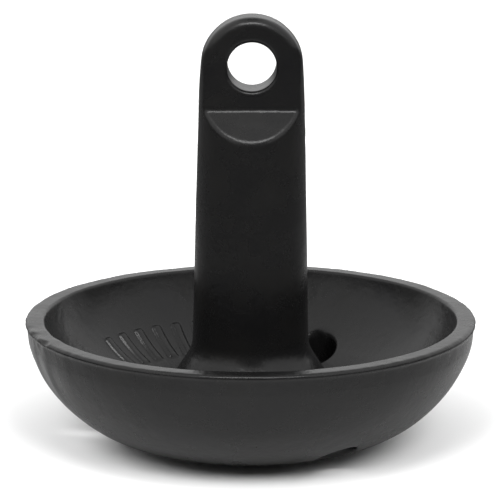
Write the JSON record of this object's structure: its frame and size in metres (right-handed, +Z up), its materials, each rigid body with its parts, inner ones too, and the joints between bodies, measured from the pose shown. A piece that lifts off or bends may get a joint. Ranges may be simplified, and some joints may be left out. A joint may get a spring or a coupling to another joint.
{
  "type": "mushroom anchor",
  "caption": "Small-boat mushroom anchor: a round bowl with drain holes and a tapered shank with an eye, one iron casting in a dipped black vinyl skin.",
  "frame": {"origin": "centre of the flat on the bowl's sole that the anchor stands on", "axes": "+Z up the shank, Y along the eye's axis, +X to the right when the eye is looked through along +Y"},
  "size_m": [0.1886, 0.1886, 0.1814],
  "materials": {
    "grey_iron": "matte",
    "black_vinyl": "satin"
  },
  "bodies": {
    "root": {"cast_iron_body": "grey_iron", "vinyl_coating": "black_vinyl"}
  },
  "joints": []
}
